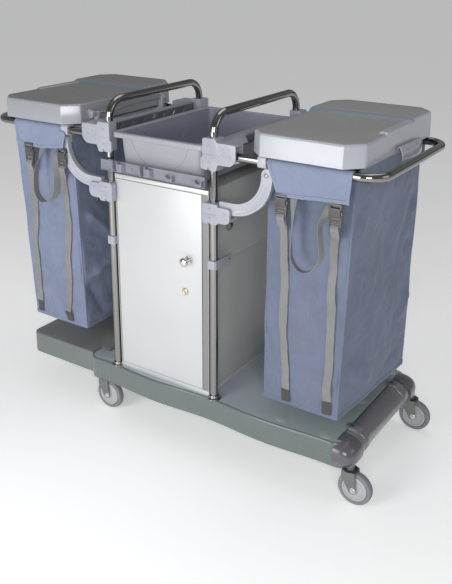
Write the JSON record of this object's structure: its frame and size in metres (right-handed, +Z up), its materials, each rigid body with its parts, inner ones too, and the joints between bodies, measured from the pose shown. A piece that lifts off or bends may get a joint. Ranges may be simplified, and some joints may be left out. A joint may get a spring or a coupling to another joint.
{
  "type": "housekeeping_cart",
  "caption": "Housekeeping cart: moulded base on swivel casters, chromed hoops, lockable cabinet, lift-out tray and lidded laundry bags at both ends",
  "frame": {"origin": "on the floor, under the middle of the whole cart's bounding box", "axes": "+X along the cart towards the end without the extension shelf, -Y is the front with the cabinet door, +Z up"},
  "size_m": [1.4717, 0.56, 1.1138],
  "materials": {
    "base": "satin",
    "end_cover": "satin",
    "chrome": "polished",
    "bracket": "satin",
    "arm": "satin",
    "beam": "satin",
    "panel": "satin",
    "door": "satin",
    "knob": "polished",
    "lock": "polished",
    "steel": "brushed",
    "tray": "satin",
    "lid": "satin",
    "fabric": "matte",
    "tyre": "matte",
    "hub": "satin"
  },
  "bodies": {
    "frame": {"base_deck": "base", "extension_shelf": "base", "end_cover": "end_cover", "hoop_left": "chrome", "hoop_right": "chrome", "post_flange_front_left": "chrome", "post_flange_rear_left": "chrome", "post_flange_front_right": "chrome", "post_flange_rear_right": "chrome", "top_bracket_front_left": "bracket", "top_bracket_rear_left": "bracket", "top_bracket_front_right": "bracket", "top_bracket_rear_right": "bracket", "lower_bracket_front_left": "bracket", "lower_bracket_rear_left": "bracket", "lower_bracket_front_right": "bracket", "lower_bracket_rear_right": "bracket", "tool_rail": "bracket", "post_clip_left": "bracket", "post_clip_right": "bracket", "side_beam_left": "beam", "side_beam_right": "beam", "cabinet_body": "panel", "door_pivot_rod": "steel"},
    "door": {"cabinet_door": "door", "door_knob": "knob"},
    "lock": {"lock_cylinder": "lock"},
    "tray": {"tray": "tray"},
    "holder_left": {"bag_loop_left": "chrome", "hinge_frame_left": "arm", "lid_pin_left": "steel", "brace_arm_front_left": "arm", "brace_arm_rear_left": "arm", "bag_left": "fabric"},
    "lid_left": {"lid_left": "lid"},
    "holder_right": {"bag_loop_right": "chrome", "hinge_frame_right": "arm", "lid_pin_right": "steel", "brace_arm_front_right": "arm", "brace_arm_rear_right": "arm", "bag_right": "fabric"},
    "lid_right": {"lid_right": "lid"},
    "fork_front_left": {"fork_front_left": "steel"},
    "wheel_front_left": {"tyre_front_left": "tyre", "wheel_hub_front_left": "hub", "axle_front_left": "steel"},
    "fork_rear_left": {"fork_rear_left": "steel"},
    "wheel_rear_left": {"tyre_rear_left": "tyre", "wheel_hub_rear_left": "hub", "axle_rear_left": "steel"},
    "fork_front_right": {"fork_front_right": "steel"},
    "wheel_front_right": {"tyre_front_right": "tyre", "wheel_hub_front_right": "hub", "axle_front_right": "steel"},
    "fork_rear_right": {"fork_rear_right": "steel"},
    "wheel_rear_right": {"tyre_rear_right": "tyre", "wheel_hub_rear_right": "hub", "axle_rear_right": "steel"}
  },
  "joints": [
    {"name": "door_hinge", "type": "hinge", "parent": "frame", "child": "door", "pos_m": [-0.1684, -0.2435, 0.532], "axis": [0, 0, -1], "range_deg": [0, 105]},
    {"name": "lock_turn", "type": "hinge", "parent": "door", "child": "lock", "pos_m": [0.0846, -0.2474, 0.531], "axis": [0, -1, 0], "range_deg": [0, 90]},
    {"name": "tray_lift", "type": "slide", "parent": "frame", "child": "tray", "axis": [0, 0, 1], "range_m": [0, 0.22]},
    {"name": "holder_fold_left", "type": "hinge", "parent": "frame", "child": "holder_left", "pos_m": [-0.2754, 0, 0.9905], "axis": [0, 1, 0], "range_deg": [0, 20]},
    {"name": "lid_hinge_left", "type": "hinge", "parent": "holder_left", "child": "lid_left", "pos_m": [-0.3244, 0, 1.037], "axis": [0, 1, 0], "range_deg": [0, 85]},
    {"name": "holder_fold_right", "type": "hinge", "parent": "frame", "child": "holder_right", "pos_m": [0.2586, 0, 0.9905], "axis": [0, -1, 0], "range_deg": [0, 20]},
    {"name": "lid_hinge_right", "type": "hinge", "parent": "holder_right", "child": "lid_right", "pos_m": [0.3076, 0, 1.037], "axis": [0, -1, 0], "range_deg": [0, 85]},
    {"name": "swivel_front_left", "type": "hinge", "parent": "frame", "child": "fork_front_left", "pos_m": [-0.2767, -0.2353, 0.1083], "axis": [0, 0, 1], "continuous": true},
    {"name": "roll_front_left", "type": "hinge", "parent": "fork_front_left", "child": "wheel_front_left", "pos_m": [-0.2587, -0.2353, 0.0528], "axis": [0, 1, 0], "continuous": true},
    {"name": "swivel_rear_left", "type": "hinge", "parent": "frame", "child": "fork_rear_left", "pos_m": [-0.2767, 0.2353, 0.1083], "axis": [0, 0, 1], "continuous": true},
    {"name": "roll_rear_left", "type": "hinge", "parent": "fork_rear_left", "child": "wheel_rear_left", "pos_m": [-0.2587, 0.2353, 0.0528], "axis": [0, 1, 0], "continuous": true},
    {"name": "swivel_front_right", "type": "hinge", "parent": "frame", "child": "fork_front_right", "pos_m": [0.6651, -0.2353, 0.1083], "axis": [0, 0, 1], "continuous": true},
    {"name": "roll_front_right", "type": "hinge", "parent": "fork_front_right", "child": "wheel_front_right", "pos_m": [0.6831, -0.2353, 0.0528], "axis": [0, 1, 0], "continuous": true},
    {"name": "swivel_rear_right", "type": "hinge", "parent": "frame", "child": "fork_rear_right", "pos_m": [0.6651, 0.2353, 0.1083], "axis": [0, 0, 1], "continuous": true},
    {"name": "roll_rear_right", "type": "hinge", "parent": "fork_rear_right", "child": "wheel_rear_right", "pos_m": [0.6831, 0.2353, 0.0528], "axis": [0, 1, 0], "continuous": true}
  ]
}
